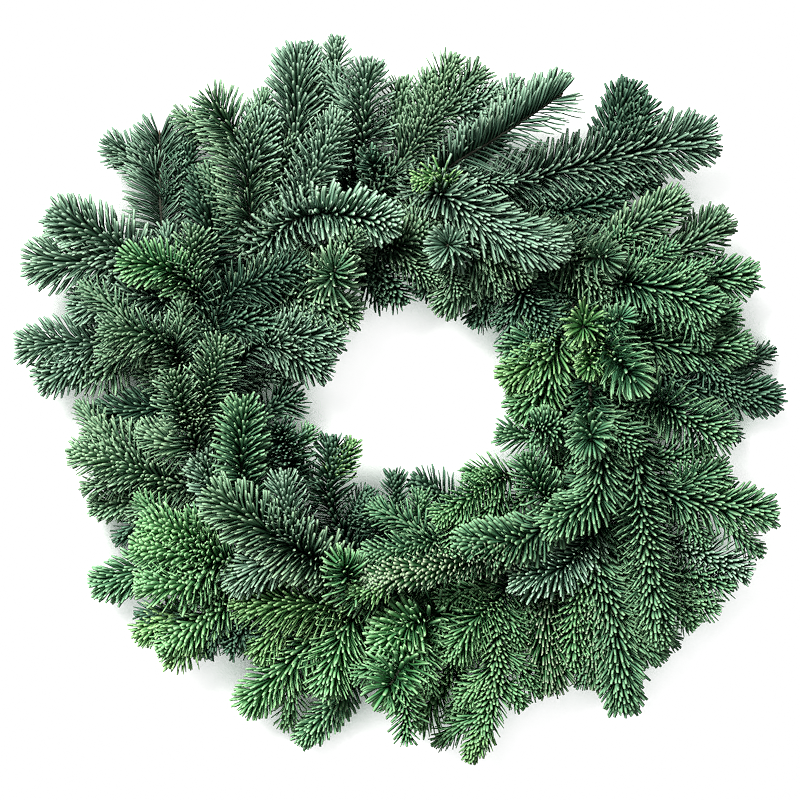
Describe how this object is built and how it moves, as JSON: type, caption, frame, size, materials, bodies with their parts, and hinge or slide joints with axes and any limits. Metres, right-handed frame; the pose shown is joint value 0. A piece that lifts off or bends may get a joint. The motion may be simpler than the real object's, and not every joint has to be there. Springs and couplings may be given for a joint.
{
  "type": "fresh evergreen wreath",
  "caption": "Fresh noble fir wreath: needled sprays laid clockwise round a clamped wire ring, with an open middle.",
  "frame": {"origin": "middle of the wreath's bounding box, on the surface that it lies on", "axes": "+Z away from the surface, out of the wreath's front; +Y towards its top; +X to the right"},
  "size_m": [0.5925, 0.5558, 0.1232],
  "materials": {
    "ring_steel": "green lacquered steel wire, satin",
    "fir_silver": "blue-green needles with a waxy bloom, satin",
    "fir_green": "mid green needles, waxy satin",
    "fir_fresh": "yellow-green young needles, satin",
    "fir_deep": "dark green old needles, satin"
  },
  "bodies": {
    "root": {"clamp_ring": "ring_steel", "bunch_01_under_spray": "fir_deep", "bunch_01_outer_spray": "fir_silver", "bunch_01_top_spray": "fir_silver", "bunch_01_inner_spray": "fir_silver", "bunch_02_under_spray": "fir_deep", "bunch_02_outer_spray": "fir_silver", "bunch_02_top_spray": "fir_green", "bunch_02_inner_spray": "fir_deep", "bunch_03_under_spray": "fir_green", "bunch_03_outer_spray": "fir_fresh", "bunch_03_top_spray": "fir_green", "bunch_03_inner_spray": "fir_fresh", "bunch_04_under_spray": "fir_deep", "bunch_04_outer_spray": "fir_green", "bunch_04_extra_spray": "fir_green", "bunch_04_top_spray": "fir_green", "bunch_04_inner_spray": "fir_green", "bunch_05_under_spray": "fir_green", "bunch_05_outer_spray": "fir_green", "bunch_05_top_spray": "fir_silver", "bunch_05_inner_spray": "fir_silver", "bunch_06_under_spray": "fir_fresh", "bunch_06_outer_spray": "fir_fresh", "bunch_06_top_spray": "fir_green", "bunch_06_inner_spray": "fir_green", "bunch_07_under_spray": "fir_silver", "bunch_07_outer_spray": "fir_green", "bunch_07_top_spray": "fir_green", "bunch_07_inner_spray": "fir_deep", "bunch_08_under_spray": "fir_silver", "bunch_08_outer_spray": "fir_green", "bunch_08_extra_spray": "fir_silver", "bunch_08_top_spray": "fir_silver", "bunch_08_inner_spray": "fir_deep", "bunch_09_under_spray": "fir_fresh", "bunch_09_outer_spray": "fir_fresh", "bunch_09_top_spray": "fir_silver", "bunch_09_inner_spray": "fir_deep", "bunch_10_under_spray": "fir_silver", "bunch_10_outer_spray": "fir_silver", "bunch_10_top_spray": "fir_fresh", "bunch_10_inner_spray": "fir_deep", "bunch_11_under_spray": "fir_green", "bunch_11_outer_spray": "fir_fresh", "bunch_11_top_spray": "fir_deep", "bunch_11_inner_spray": "fir_silver", "bunch_12_under_spray": "fir_deep", "bunch_12_outer_spray": "fir_silver", "bunch_12_top_spray": "fir_fresh", "bunch_12_inner_spray": "fir_silver", "bunch_13_under_spray": "fir_silver", "bunch_13_outer_spray": "fir_silver", "bunch_13_top_spray": "fir_silver", "bunch_13_inner_spray": "fir_green", "bunch_14_under_spray": "fir_green", "bunch_14_outer_spray": "fir_fresh", "bunch_14_top_spray": "fir_green", "bunch_14_inner_spray": "fir_green"}
  },
  "joints": []
}
